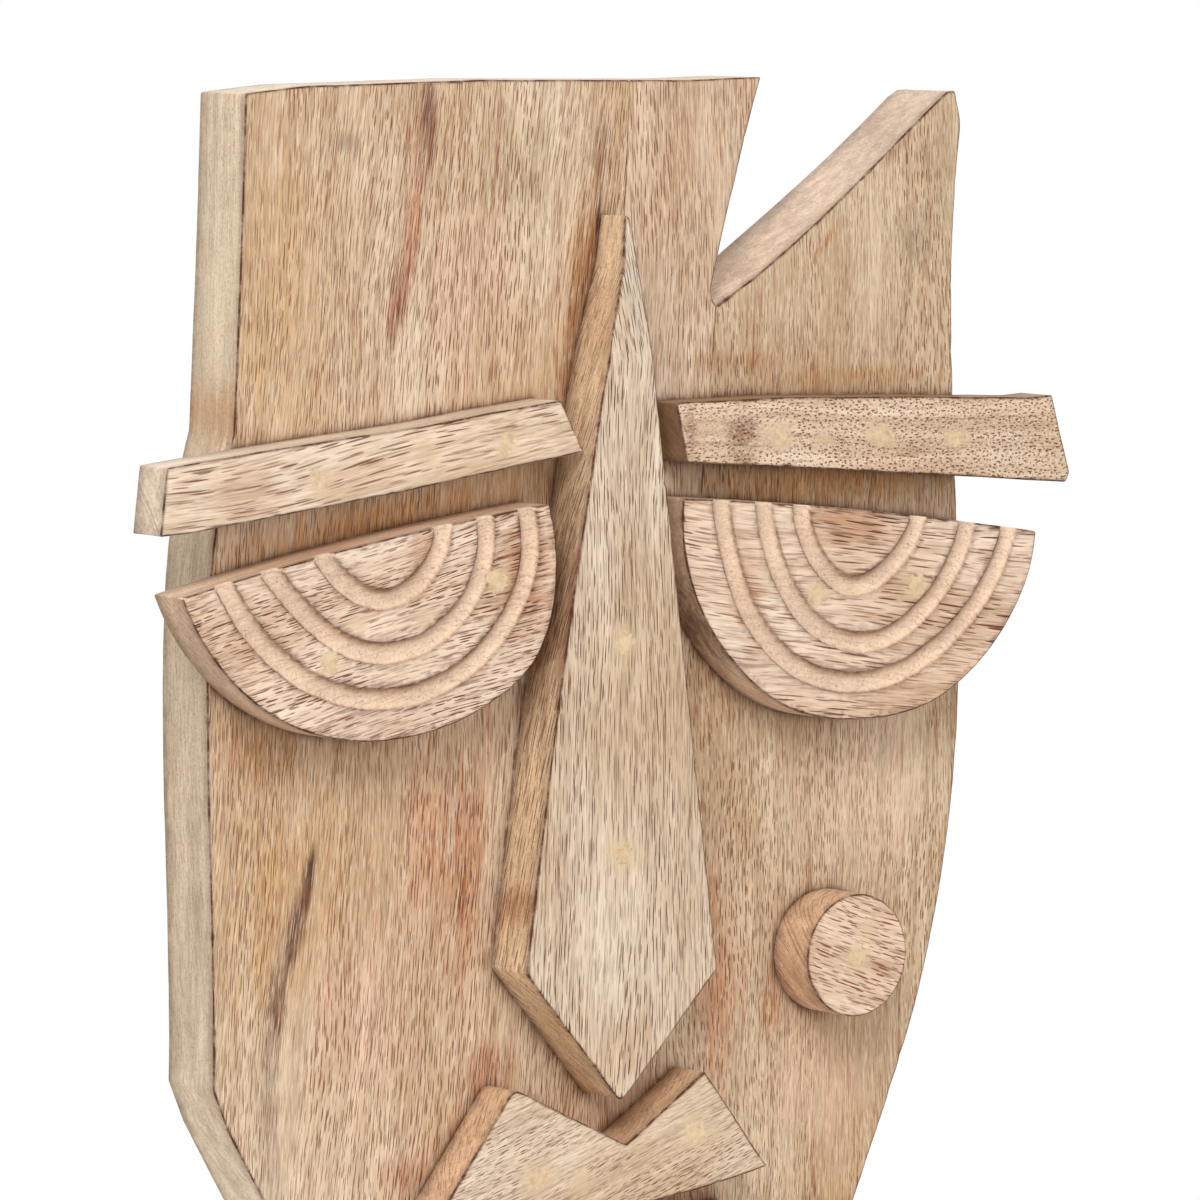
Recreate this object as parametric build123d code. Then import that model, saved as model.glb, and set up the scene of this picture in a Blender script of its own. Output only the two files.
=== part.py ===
"""A wall mask carved in pale hardwood, as the pieces it is assembled from.

Three edge-glued boards make the face. Brows, eyes, nose, lips and a cheek disc are sawn from thinner
stock and screwed on from the front, with putty over the screw heads. A strap hanger with a swinging
ring and two rubber bumpers are on the back.

Millimetres, +Z up, the face looks along -Y. The origin is where the wall hook bears: X=0 and Z=0 at the
inside top of the raised ring, Y=0 at the wall.
"""

from build123d import *
import math
import os

# Depths, measured from the wall towards the front (-Y)
BUMPER_HEIGHT = 5.5
BOARD_THICK = 25.0
BOARD_BACK = BUMPER_HEIGHT
BOARD_FRONT = BOARD_BACK + BOARD_THICK
BROW_THICK = 15.0
EYE_THICK = 15.5
LIP_THICK = 15.5
NOSE_THICK = 18.3
NOSE_TOP_THICK = 12.2
NOSE_TOP_Z = 30.4
NOSE_TAPER_LENGTH = 42.0
CHEEK_THICK = 17.2
CHEEK_RADIUS = 18.7
CHEEK_CENTRE = (85.8, -194.5)

# Worn edges and carved grooves
ARRIS = 0.6
GROOVE_WIDTH = 6.2
GROOVE_DEPTH = 2.0
LIP_PEAK_RADIUS = 3.6

# How far cutting shapes reach past the wood they trim
MARGIN = 50.0

# The face's limits, and a line up through the notch that parts the middle and right boards
FACE_REACH = 140.0
FACE_TOP_Z = 71.0
CHIN_Z = -330.0
NOTCH_X = 84.0

# The forehead notch: how much higher its right face is at the back, at its bottom, middle and top
NOTCH_LEAN = (3.0, 3.2, 1.7)
NOTCH_CLEAR_Z = 80.0

# Edge joints between the boards: (x at the joint's top, z there, x at the chin)
JOINT_LEFT = (14.0, 71.0, -6.0)
JOINT_RIGHT = (45.5, 2.0, 13.5)
DOWEL_RADIUS = 4.0
DOWEL_LENGTH = 30.0
DOWEL_BEVEL = 0.8
DOWELS_LEFT_Z = (40.0, -65.0, -190.0, -290.0)
DOWELS_RIGHT_Z = (-25.0, -110.0, -215.0, -305.0)

# Countersunk wood screws and the putty over them
SCREW_LENGTH = 30.0
SCREW_RADIUS = 1.75
SCREW_HEAD_RADIUS = 3.5
SCREW_HEAD_HEIGHT = 2.4
SCREW_TIP_LENGTH = 4.0
TIP_BLUNTNESS = 0.15
RECESS_WIDTH = 0.9
RECESS_DEPTH = 1.5
RECESS_SHARE = 0.6
FILLER_DEPTH = 3.0
FILLER_RADIUS = 3.75

# Strap hanger: a strip rolled round the straight side of a D ring
STRAP_THICK = 1.2
STRAP_WIDTH = 14.0
STRAP_LENGTH = 34.0
STRAP_CORNER_RADIUS = 5.6
WIRE_RADIUS = 1.25
PIVOT_CLEARANCE = 0.07
RING_INNER_HALF_WIDTH = 9.0
RING_INNER_REACH = 13.0
RING_CORNER_RADIUS = 2.5
RING_LEAN_DEG = 4.5
HANGER_SCREW_DROPS = (8.0, 26.0)
HANGER_SCREW_LENGTH = 14.0
HANGER_SCREW_RADIUS = 1.6
PAN_HEAD_RADIUS = 3.0
PAN_HEAD_HEIGHT = 1.7
PAN_HEAD_EDGE = 0.6
PAN_RECESS_DEPTH = 1.2

# Rubber bumpers
BUMPER_RADIUS = 7.0
BUMPER_EDGE = 1.0
BUMPER_CENTRES = ((-55.0, -305.0), (62.0, -305.0))

# Screw positions (x, z) in each carved piece
BROW_SCREWS = ((-105.0, -43.0), (-41.0, -35.0), (58.0, -36.5), (96.0, -37.5), (124.0, -40.0))
EYE_SCREWS = ((-102.5, -96.0), (-44.0, -75.0), (71.5, -84.5), (109.5, -83.5))
NOSE_SCREWS = ((-1.0, -95.0), (-2.0, -157.0))
UPPER_LIP_SCREWS = ((-30.0, -252.0), (27.0, -243.0))
LOWER_LIP_SCREWS = ((-25.0, -284.0), (24.0, -280.0))

PIVOT_DEPTH = BOARD_BACK - (WIRE_RADIUS + PIVOT_CLEARANCE + STRAP_THICK)
PIVOT_Z = -RING_INNER_REACH * math.cos(math.radians(RING_LEAN_DEG))


def front_plane(depth):
    """The plane facing the viewer, depth in front of the wall."""
    return Plane.XZ.offset(depth)


def outline(*curves):
    """A closed face from end-to-end curves drawn in (x, z)."""
    return make_face(Curve() + list(curves))


def slab(face, back, thick):
    """A board or plate of this outline whose back is at depth back."""
    return extrude(front_plane(back) * face, amount=thick)


def soften_front(solid):
    """Take the sharp arris off a piece's front face."""
    front = solid.faces().filter_by(Axis.Y).sort_by(Axis.Y)[0]
    return chamfer(front.edges(), ARRIS)


def cross_recess(radius, depth):
    """A driver's cross, cut down from z=0."""
    arm = Box(2 * radius, RECESS_WIDTH, depth, align=(Align.CENTER, Align.CENTER, Align.MAX))
    return arm + Rot(0, 0, 90) * arm


def screw_blank(length, radius, tip):
    """A screw's shank, from z=0 down to its point."""
    shank = Cylinder(radius, length - tip, align=(Align.CENTER, Align.CENTER, Align.MAX))
    point = Cone(TIP_BLUNTNESS * radius, radius, tip, align=(Align.CENTER, Align.CENTER, Align.MAX))
    return shank + Pos(0, 0, tip - length) * point


def wood_screw_blank():
    """A countersunk screw with its head's top at z=0, before its recess is cut."""
    head = Cone(
        SCREW_RADIUS, SCREW_HEAD_RADIUS, SCREW_HEAD_HEIGHT, align=(Align.CENTER, Align.CENTER, Align.MAX)
    )
    return head + screw_blank(SCREW_LENGTH, SCREW_RADIUS, SCREW_TIP_LENGTH)


def driven_from_front(solid, x, z, depth):
    """Place a solid modelled along -Z so that it points into the wall from this depth."""
    return front_plane(depth) * Pos(x, z, 0) * solid


def front_depth(thick):
    """The depth of the front of a piece this thick, mounted on the boards."""
    return BOARD_FRONT + thick


def screws_and_fillers(points, thick):
    """The screws at these points in a piece this thick, their putty, and the hole they fill."""
    screws, fillers, holes = [], [], []
    recess_cut = cross_recess(SCREW_HEAD_RADIUS * RECESS_SHARE, RECESS_DEPTH)
    filler = Cylinder(FILLER_RADIUS, FILLER_DEPTH, align=(Align.CENTER, Align.CENTER, Align.MAX))
    head_depth = front_depth(thick) - FILLER_DEPTH
    for x, z in points:
        blank = driven_from_front(wood_screw_blank(), x, z, head_depth)
        recess = driven_from_front(recess_cut, x, z, head_depth)
        plug = driven_from_front(filler, x, z, front_depth(thick))
        screws.append(blank - recess)
        fillers.append(plug)
        holes.append(blank + plug)
    return screws, fillers, holes


def cut(solid, tools):
    """A solid less every one of these tools."""
    for tool in tools:
        solid = solid - tool
    return solid


def notch_face(bottom_rise, middle_rise, top_rise):
    """The deep notch in the forehead, its right edge raised by these amounts along its length."""
    left = Spline((62, 70), (57, 54), (51, 34), (43.6, 6 + bottom_rise))
    bottom = Polyline((43.6, 6 + bottom_rise), (45.5, 2 + bottom_rise), (58.5, 9.5 + bottom_rise))
    right = Spline(
        (58.5, 9.5 + bottom_rise), (78.6, 23 + middle_rise), (104, 42.6 + top_rise), (132, 64.7 + top_rise)
    )
    above = Polyline((132, 64.7 + top_rise), (132, NOTCH_CLEAR_Z), (62, NOTCH_CLEAR_Z), (62, 70))
    return outline(left, bottom, right, above)


def notch_cut():
    """The notch as cut through the boards: its right face leans, higher at the back than at the front."""
    front = front_plane(BOARD_FRONT) * notch_face(0, 0, 0)
    back = front_plane(BOARD_BACK) * notch_face(*NOTCH_LEAN)
    return loft([front, back], ruled=True)


def face_outline():
    """The whole face before its notch: a flat top, gently bowed sides, an angled jaw and a flat chin."""
    top = Polyline((-120.5, 67.5), (-99, 69.5), (-40, 70.4), (33.5, 69.5), (62, 70), (132, 66.5))
    temple = Polyline((132, 66.5), (132, 64.7), (135.3, 65), (137.6, 55))
    right_side = Spline(
        (137.6, 55), (134.8, -27), (137.4, -120), (130.5, -178.5), (114, -234), (98, -272), (84, -324)
    )
    chin = Polyline((84, -324), (79, CHIN_Z), (-68, CHIN_Z), (-76, -324))
    left_jaw = Spline((-76, -324), (-95, -290), (-117.5, -250), (-128, -231.5))
    jaw_corner = Polyline((-128, -231.5), (-133, -219))
    left_side = Spline((-133, -219), (-133.5, -160), (-134.4, -104), (-131.8, -60), (-125, -30))
    left_temple = Polyline((-125, -30), (-122.3, 21.5), (-120.5, 67.5))
    return outline(top, temple, right_side, chin, left_jaw, jaw_corner, left_side, left_temple)


def joint_x(joint, z):
    """Where an edge joint crosses this height."""
    x_top, z_top, x_chin = joint
    return x_top + (x_chin - x_top) * (z_top - z) / (z_top - CHIN_Z)


def region(left_top, right_top, right_bottom, left_bottom):
    """A four-sided face."""
    return outline(Polyline(left_top, right_top, right_bottom, left_bottom, left_top))


def dowels(joint, heights):
    """Dowels across an edge joint, at mid-thickness."""
    pin = Cylinder(DOWEL_RADIUS, DOWEL_LENGTH)
    pin = Rot(0, 90, 0) * chamfer(pin.edges().filter_by(GeomType.CIRCLE), DOWEL_BEVEL)
    middle = -(BOARD_BACK + BOARD_THICK / 2)
    return [Pos(joint_x(joint, z), middle, z) * pin for z in heights]


def boards():
    """The three boards: the face outline parted along its two joints."""
    whole = slab(face_outline(), BOARD_BACK, BOARD_THICK) - notch_cut()
    far, above, below = FACE_REACH + MARGIN, FACE_TOP_Z + MARGIN, CHIN_Z - MARGIN
    left_above, left_below = (joint_x(JOINT_LEFT, above), above), (joint_x(JOINT_LEFT, below), below)
    right_top, right_below = JOINT_RIGHT[:2], (joint_x(JOINT_RIGHT, below), below)
    notch = (NOTCH_X, above)
    left = region((-far, above), left_above, left_below, (-far, below))
    middle = outline(Polyline(left_above, notch, right_top, right_below, left_below, left_above))
    right = outline(Polyline(notch, (far, above), (far, below), right_below, right_top, notch))
    return [whole & slab(part, BOARD_BACK, BOARD_THICK) for part in (left, middle, right)]


def brow_left():
    """A long bar that deepens towards the temple and overhangs the face's side."""
    face = outline(
        Polyline(
            (-157, -37.5), (-128, -34.3), (-98, -31.4), (-70, -28.9), (-46, -25.8), (-21, -23.1), (-13, -38.6),
            (-78, -48), (-148, -56.5), (-159.3, -57.2), (-157, -37.5),
        )
    )
    return soften_front(slab(face, BOARD_FRONT, BROW_THICK))


def brow_right():
    """A bar with a nearly level top, deeper at the temple, overhanging the face's side."""
    face = outline(
        Polyline(
            (20, -25.3), (60, -25), (113, -26.6), (153, -28.4), (161.5, -27.8), (168.4, -52), (167, -55),
            (124, -51.3), (75, -47.2), (24, -43.4), (20, -25.3),
        )
    )
    return soften_front(slab(face, BOARD_FRONT, BROW_THICK))


def eye(lid, rim, grooves):
    """A half disc under a nearly straight lid, with arcs gouged across its front and out at the lid."""
    solid = soften_front(slab(outline(lid, rim), BOARD_FRONT, EYE_THICK))
    radius = ((GROOVE_WIDTH / 2) ** 2 + GROOVE_DEPTH ** 2) / (2 * GROOVE_DEPTH)
    centre_depth = front_depth(EYE_THICK) + radius - GROOVE_DEPTH
    for points in grooves:
        path = front_plane(centre_depth) * Spline(*points)
        section = Plane(origin=path @ 0, z_dir=path % 0) * Circle(radius)
        solid = solid - sweep(section, path)
    return solid


def eye_left():
    """The left eye, with three arcs."""
    lid = ThreePointArc((-152.5, -74.6), (-88, -61.8), (-25.6, -53.3))
    rim = Spline(
        (-25.6, -53.3), (-23, -75), (-30, -98), (-52, -113.3), (-85, -119.7), (-117, -112.8),
        (-139, -96.3), (-152.5, -74.6),
    )
    outer = ((-142, -64), (-130, -84), (-109.5, -101), (-83, -107.5), (-50, -96.5), (-35, -77), (-37, -47))
    middle = ((-127, -63), (-113, -79.5), (-93, -92.6), (-70, -92), (-55.2, -81.5), (-51, -49))
    inner = ((-108, -58), (-96, -74), (-83.5, -78.5), (-71.5, -74), (-64, -52))
    return eye(lid, rim, (outer, middle, inner))


def eye_right():
    """The right eye, with three arcs."""
    lid = ThreePointArc((155.2, -69.3), (89, -60), (22.4, -53.6))
    rim = Spline(
        (22.4, -53.6), (27.5, -84.5), (41, -103.8), (62, -118.6), (91, -123.4), (114, -120), (138, -104),
        (151, -85.5), (155.2, -69.3),
    )
    outer = (
        (35.5, -49), (38.5, -68), (48.5, -91.5), (67, -107.5), (91, -112), (117, -103), (136, -85.5),
        (146, -62),
    )
    middle = ((51.5, -50), (58.5, -78.5), (72, -94.5), (91, -100), (112, -91), (129.5, -59))
    inner = ((66.8, -52), (71.5, -73.5), (85, -82.8), (98, -78.5), (110.8, -56))
    return eye(lid, rim, (outer, middle, inner))


def nose():
    """A long kite with a blunt top, whose front slopes back towards that end."""
    left = Polyline((3.4, 30.4), (1.2, 15.5), (-5.2, -6.5), (-9.2, -24), (-24, -108), (-36.2, -190.8))
    bottom = Polyline((-36.2, -190.8), (-3.8, -229.9), (-2, -231), (0, -229.9), (33.2, -194.6))
    right = Polyline((33.2, -194.6), (21.6, -105), (11, -23.3), (8.2, 6.1), (5.4, 29.8), (3.4, 30.4))
    solid = slab(outline(left, bottom, right), BOARD_FRONT, NOSE_THICK)
    front, taper_z = -front_depth(NOSE_THICK), NOSE_TOP_Z - NOSE_TAPER_LENGTH
    wedge = Plane.YZ * outline(
        Polyline(
            (front, taper_z), (-front_depth(NOSE_TOP_THICK), NOSE_TOP_Z), (front - MARGIN, NOSE_TOP_Z),
            (front - MARGIN, taper_z), (front, taper_z),
        )
    )
    return solid - extrude(wedge, amount=MARGIN, both=True)


def upper_lip():
    """A broad M with a sharp left peak and a rounded right one."""
    top = Polyline((-76, -274.5), (-38.4, -224.6), (1.8, -244.7), (30.6, -225.2), (53.8, -256))
    base = Spline((53.8, -256), (31, -260.4), (-20, -266), (-76, -274.5))
    face = outline(top, base)
    right_peak = face.vertices().sort_by(Axis.Y)[-1]
    face = fillet(right_peak, LIP_PEAK_RADIUS)
    return soften_front(slab(face, BOARD_FRONT, LIP_THICK))


def lower_lip():
    """A shallow half moon, a few millimetres under the upper lip."""
    top = Spline((-62, -281), (-20, -274.2), (46, -267))
    base = Spline((46, -267), (31, -286), (-5, -300), (-44, -297.5), (-62, -281))
    return soften_front(slab(outline(top, base), BOARD_FRONT, LIP_THICK))


def cheek_disc():
    """A plain round disc under the right eye."""
    face = Pos(*CHEEK_CENTRE) * Circle(CHEEK_RADIUS)
    return soften_front(slab(face, BOARD_FRONT, CHEEK_THICK))


def ring_turned(solid, degrees):
    """Turn a solid about the ring's pivot, positive away from the board."""
    pivot = Pos(0, -PIVOT_DEPTH, PIVOT_Z)
    return pivot * Rot(-degrees, 0, 0) * pivot.inverse() * solid


def hanger_ring():
    """A D of round wire, standing up from its straight side and leaning on the board."""
    half = RING_INNER_HALF_WIDTH + WIRE_RADIUS
    shoulder = RING_INNER_REACH - RING_INNER_HALF_WIDTH
    base = FilletPolyline(
        (-half, shoulder), (-half, 0), (half, 0), (half, shoulder), radius=RING_CORNER_RADIUS
    )
    bow = ThreePointArc((half, shoulder), (0, shoulder + half), (-half, shoulder))
    path = Plane.XZ * Wire((Curve() + [base, bow]).edges())
    section = Plane(origin=path @ 0, z_dir=path % 0) * Circle(WIRE_RADIUS)
    ring = Pos(0, -PIVOT_DEPTH, PIVOT_Z) * sweep(section, path)
    return ring_turned(ring, -RING_LEAN_DEG)


def hanger_strap(screw_blanks):
    """A plate on the board's back, rolled into an eye round the ring's straight side."""
    eye_inner = WIRE_RADIUS + PIVOT_CLEARANCE
    plate = Rectangle(STRAP_WIDTH, STRAP_LENGTH, align=(Align.CENTER, Align.MAX))
    plate = fillet(plate.vertices().group_by(Axis.Y)[0], STRAP_CORNER_RADIUS)
    plate = extrude(Plane.XZ.offset(BOARD_BACK) * Pos(0, PIVOT_Z) * plate, amount=-STRAP_THICK)
    roll = Circle(eye_inner + STRAP_THICK) - Circle(eye_inner)
    roll = extrude(Plane.YZ * Pos(-PIVOT_DEPTH, PIVOT_Z) * roll, amount=STRAP_WIDTH / 2, both=True)
    return cut(plate + roll, screw_blanks)


def hanger_screws():
    """Pan-head screws through the strap, and their blanks, before the recess is cut."""
    head = Cylinder(PAN_HEAD_RADIUS, PAN_HEAD_HEIGHT, align=(Align.CENTER, Align.CENTER, Align.MIN))
    head = fillet(head.edges().filter_by(GeomType.CIRCLE).sort_by(Axis.Z)[-1], PAN_HEAD_EDGE)
    blank = head + screw_blank(HANGER_SCREW_LENGTH, HANGER_SCREW_RADIUS, SCREW_TIP_LENGTH)
    recess = Pos(0, 0, PAN_HEAD_HEIGHT) * cross_recess(PAN_HEAD_RADIUS * RECESS_SHARE, PAN_RECESS_DEPTH)
    strap_face = front_plane(BOARD_BACK - STRAP_THICK)
    places = [strap_face * Pos(0, PIVOT_Z - drop) * Rot(180, 0, 0) for drop in HANGER_SCREW_DROPS]
    return [place * (blank - recess) for place in places], [place * blank for place in places]


def wall_bumpers():
    """Two rubber pads on the back, low down, whose outer faces touch the wall."""
    pad = Cylinder(BUMPER_RADIUS, BUMPER_HEIGHT, align=(Align.CENTER, Align.CENTER, Align.MIN))
    pad = fillet(pad.edges().filter_by(GeomType.CIRCLE).sort_by(Axis.Z)[0], BUMPER_EDGE)
    return [front_plane(0) * Pos(x, z) * pad for x, z in BUMPER_CENTRES]


def build():
    """Every node's name and its solid or group of solids."""
    nodes = {}
    left, middle, right = boards()
    dowels_left = dowels(JOINT_LEFT, DOWELS_LEFT_Z)
    dowels_right = dowels(JOINT_RIGHT, DOWELS_RIGHT_Z)
    carved = {
        "brow_left": (brow_left(), BROW_SCREWS[:2], BROW_THICK, "brow"),
        "brow_right": (brow_right(), BROW_SCREWS[2:], BROW_THICK, "brow"),
        "eye_left": (eye_left(), EYE_SCREWS[:2], EYE_THICK, "eye"),
        "eye_right": (eye_right(), EYE_SCREWS[2:], EYE_THICK, "eye"),
        "nose": (nose(), NOSE_SCREWS, NOSE_THICK, "nose"),
        "cheek_disc": (cheek_disc(), (CHEEK_CENTRE,), CHEEK_THICK, "cheek"),
        "upper_lip": (upper_lip(), UPPER_LIP_SCREWS, LIP_THICK, "lip"),
        "lower_lip": (lower_lip(), LOWER_LIP_SCREWS, LIP_THICK, "lip"),
    }
    screw_groups, filler_groups, all_holes = {}, {}, []
    for name, (solid, points, thick, family) in carved.items():
        screws, fillers, holes = screws_and_fillers(points, thick)
        nodes[name] = cut(solid, holes)
        screw_groups.setdefault(family, []).extend(screws)
        filler_groups.setdefault(family, []).extend(fillers)
        all_holes.extend(holes)
    strap_screws, strap_blanks = hanger_screws()
    all_holes.extend(strap_blanks)
    nodes["board_left"] = cut(left, dowels_left + all_holes)
    nodes["board_middle"] = cut(middle, dowels_left + dowels_right + all_holes)
    nodes["board_right"] = cut(right, dowels_right + all_holes)
    nodes["dowels_left_joint"] = dowels_left
    nodes["dowels_right_joint"] = dowels_right
    for family, group in screw_groups.items():
        nodes[f"{family}_screws"] = group
    for family, group in filler_groups.items():
        nodes[f"{family}_fillers"] = group
    nodes["hanger_strap"] = hanger_strap(strap_blanks)
    nodes["hanger_ring"] = hanger_ring()
    nodes["hanger_screws"] = strap_screws
    nodes["wall_bumpers"] = wall_bumpers()
    return nodes


def solids_of(shape):
    """The separate solids of one shape or of a list of shapes."""
    shapes = shape if isinstance(shape, list) else [shape]
    return [solid for item in shapes for solid in item.solids()]


os.makedirs("parts", exist_ok=True)
for node, shape in build().items():
    solids = solids_of(shape)
    export_step(solids[0] if len(solids) == 1 else Compound(solids), f"parts/{node}.step")
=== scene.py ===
import math

import bpy
import numpy as np
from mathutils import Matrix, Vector, geometry, noise
from mathutils.bvhtree import BVHTree
from mathutils.kdtree import KDTree

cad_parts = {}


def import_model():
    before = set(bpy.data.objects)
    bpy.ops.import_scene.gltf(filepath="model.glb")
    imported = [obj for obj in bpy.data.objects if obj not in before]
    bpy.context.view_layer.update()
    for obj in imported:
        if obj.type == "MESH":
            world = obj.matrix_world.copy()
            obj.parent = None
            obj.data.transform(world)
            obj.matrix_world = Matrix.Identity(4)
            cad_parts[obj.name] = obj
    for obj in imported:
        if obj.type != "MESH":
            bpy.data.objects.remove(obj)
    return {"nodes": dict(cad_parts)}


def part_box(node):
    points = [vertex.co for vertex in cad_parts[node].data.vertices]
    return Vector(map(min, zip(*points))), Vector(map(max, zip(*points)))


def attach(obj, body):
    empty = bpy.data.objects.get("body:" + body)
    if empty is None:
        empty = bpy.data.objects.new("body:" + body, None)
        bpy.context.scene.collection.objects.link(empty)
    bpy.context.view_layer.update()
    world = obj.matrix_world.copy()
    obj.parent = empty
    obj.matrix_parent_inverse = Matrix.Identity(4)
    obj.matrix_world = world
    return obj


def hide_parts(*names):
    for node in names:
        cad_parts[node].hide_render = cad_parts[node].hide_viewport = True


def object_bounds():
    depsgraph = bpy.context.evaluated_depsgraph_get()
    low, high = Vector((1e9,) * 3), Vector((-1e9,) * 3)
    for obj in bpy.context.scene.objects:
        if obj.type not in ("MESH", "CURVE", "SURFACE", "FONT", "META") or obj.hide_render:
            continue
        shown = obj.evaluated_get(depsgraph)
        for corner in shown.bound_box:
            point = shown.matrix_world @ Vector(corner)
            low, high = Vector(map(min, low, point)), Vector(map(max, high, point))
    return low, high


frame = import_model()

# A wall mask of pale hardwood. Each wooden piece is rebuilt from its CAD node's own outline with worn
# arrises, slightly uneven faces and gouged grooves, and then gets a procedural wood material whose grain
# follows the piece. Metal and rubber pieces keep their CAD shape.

CAD_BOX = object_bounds()
MM = 0.001
NODES = frame["nodes"]
MASK_BODY = "mask"

BOARDS = ("board_left", "board_middle", "board_right")
APPLIED = ("brow_left", "brow_right", "eye_left", "eye_right", "nose", "cheek_disc", "upper_lip", "lower_lip")


# ---------------------------------------------------------------- outlines, in millimetres, as (x, z)

def vertex_array(mesh):
    flat = np.empty(len(mesh.vertices) * 3, np.float32)
    mesh.vertices.foreach_get("co", flat)
    return flat.reshape(-1, 3).astype(float) / MM


def signed_area(loop):
    ahead = np.roll(loop, -1, 0)
    return float(np.sum(loop[:, 0] * ahead[:, 1] - ahead[:, 0] * loop[:, 1]) / 2)


def perimeter(loop):
    return float(np.linalg.norm(np.roll(loop, -1, 0) - loop, axis=1).sum())


def face_loops(node, y):
    """The boundary loops of a node's flat faces at this y, counter-clockwise, longest first."""
    mesh = NODES[node].data
    points = vertex_array(mesh)
    keys = [tuple(k) for k in np.round(points * 1000).astype(int)]
    flat = np.abs(points[:, 1] - y) < 0.005
    edges = set()
    for polygon in mesh.polygons:
        corners = list(polygon.vertices)
        if all(flat[c] for c in corners):
            edges.update((keys[a], keys[b]) for a, b in zip(corners, corners[1:] + corners[:1]))
    follow = {a: b for a, b in edges if (b, a) not in edges}
    loops = []
    while follow:
        start, here = follow.popitem()
        loop = [start]
        while here != start and here in follow:
            loop.append(here)
            here = follow.pop(here)
        loop = np.array([(k[0], k[2]) for k in loop]) / 1000
        if len(loop) > 2:
            loops.append(loop if signed_area(loop) > 0 else loop[::-1])
    return sorted(loops, key=perimeter, reverse=True)


def inward(loop):
    """Unit normals pointing into a counter-clockwise loop."""
    along = np.roll(loop, -1, 0) - np.roll(loop, 1, 0)
    normal = np.stack([-along[:, 1], along[:, 0]], 1)
    return normal / np.maximum(np.linalg.norm(normal, axis=1, keepdims=True), 1e-9)


def spaced(stretch, step):
    """Points about step apart along an open stretch, its last point left out."""
    lengths = np.linalg.norm(np.diff(stretch, axis=0), axis=1)
    run = np.concatenate([[0], np.cumsum(lengths)])
    count = max(1, round(run[-1] / step))
    at = np.linspace(0, run[-1], count + 1)[:-1]
    return np.stack([np.interp(at, run, stretch[:, i]) for i in range(2)], 1)


def resample(loop, step, corner_cut, corner_deg=24.0):
    """Evenly spaced points along a loop, with each sharp corner eased over corner_cut."""
    before, after = loop - np.roll(loop, 1, 0), np.roll(loop, -1, 0) - loop
    turn = np.arctan2(after[:, 1], after[:, 0]) - np.arctan2(before[:, 1], before[:, 0])
    turn = np.degrees((turn + np.pi) % (2 * np.pi) - np.pi)
    corners = np.flatnonzero(np.abs(turn) > corner_deg)
    if not len(corners):
        return spaced(np.vstack([loop, loop[:1]]), step)
    out = []
    for first, last in zip(corners, np.roll(corners, -1)):
        last = last if last > first else last + len(loop)
        stretch = loop[np.arange(first, last + 1) % len(loop)]
        lengths = np.linalg.norm(np.diff(stretch, axis=0), axis=1)
        run = np.concatenate([[0], np.cumsum(lengths)])
        cut = min(corner_cut, 0.3 * run[-1])
        at = np.linspace(cut, run[-1] - cut, max(2, round((run[-1] - 2 * cut) / step) + 1))
        out.append(np.stack([np.interp(at, run, stretch[:, i]) for i in range(2)], 1))
        out.append(stretch[-1:])
    eased = []
    for i in range(0, len(out), 2):
        stretch, corner = out[i], out[i + 1][0]
        following = out[(i + 2) % len(out)][0]
        eased.append(stretch)
        for t in (0.3, 0.5, 0.7):
            point = (1 - t) ** 2 * stretch[-1] + 2 * t * (1 - t) * corner + t ** 2 * following
            eased.append(point[None])
    return np.vstack(eased)


def tree_of(points):
    tree = KDTree(len(points))
    for i, (x, z) in enumerate(points):
        tree.insert((x, 0, z), i)
    tree.balance()
    return tree


def distance(tree, points):
    return np.array([tree.find((x, 0, z))[2] for x, z in points])


def dense(loop, step=0.25):
    return spaced(np.vstack([loop, loop[:1]]), step)


def inside(points, loop):
    """Which points lie inside a loop, by the even-odd rule."""
    hit = np.zeros(len(points), bool)
    x, z = points[:, 0], points[:, 1]
    for (x1, z1), (x2, z2) in zip(loop, np.roll(loop, -1, 0)):
        if z1 != z2:
            crossing = (z1 > z) != (z2 > z)
            hit ^= crossing & (x < (x2 - x1) * (z - z1) / (z2 - z1) + x1)
    return hit


def fbm(points, size, seed, octaves=2):
    """Smooth noise from -1 to 1 at (x, z) points, with features of about this size."""
    return np.array([
        noise.fractal(Vector((x / size, seed * 7.31, z / size)), 1.0, 2.0, octaves) for x, z in points
    ]).clip(-1, 1)


def leans(node, loop):
    """How far each point of a board's front outline moves by the time it reaches the back."""
    back = dense(face_loops(node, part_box(node)[1].y / MM)[0], 0.1)
    tree = tree_of(back)
    shift = back[[tree.find((x, 0, z))[1] for x, z in loop]] - loop
    shift[np.linalg.norm(shift, axis=1) < 0.3] = 0
    return sum(np.roll(shift, k, 0) for k in range(-2, 3)) / 5


def safe_insets(loop, normals, insets, tree):
    """Insets made smaller where two sides of a narrow point would cross."""
    insets = insets.copy()
    for _ in range(6):
        moved = loop + normals * insets[:, None]
        crowded = distance(tree, moved) < 0.8 * insets
        insets[crowded] *= 0.7
    return insets


# ---------------------------------------------------------------- carved solids

def outline_of(node):
    """The outline that a piece is carved to: a board's front, or an applied piece's unbevelled back."""
    low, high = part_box(node)
    return face_loops(node, (low.y if node in BOARDS else high.y) / MM)[0]


OUTLINES = {node: outline_of(node) for node in BOARDS + APPLIED}
SURFACES = {}
ARRIS_CLEAR = 1.0
SPOT_ROOM = 0.08
# Per-vertex marks for the material; foot, rim, contact and shaded also carry painted shade
MARKS = ("edge", "foot", "side", "groove", "rim", "contact_dirt_and_shade", "shaded")
# The direction in (x, z) towards the key light, up and to the left: groove walls that face away from it get
# painted shade
TOWARDS_KEY_LIGHT = np.array((-0.6, 0.8))
BACK_SIDE_MARK = 0.25
PLUG_REACH = 3.95


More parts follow.
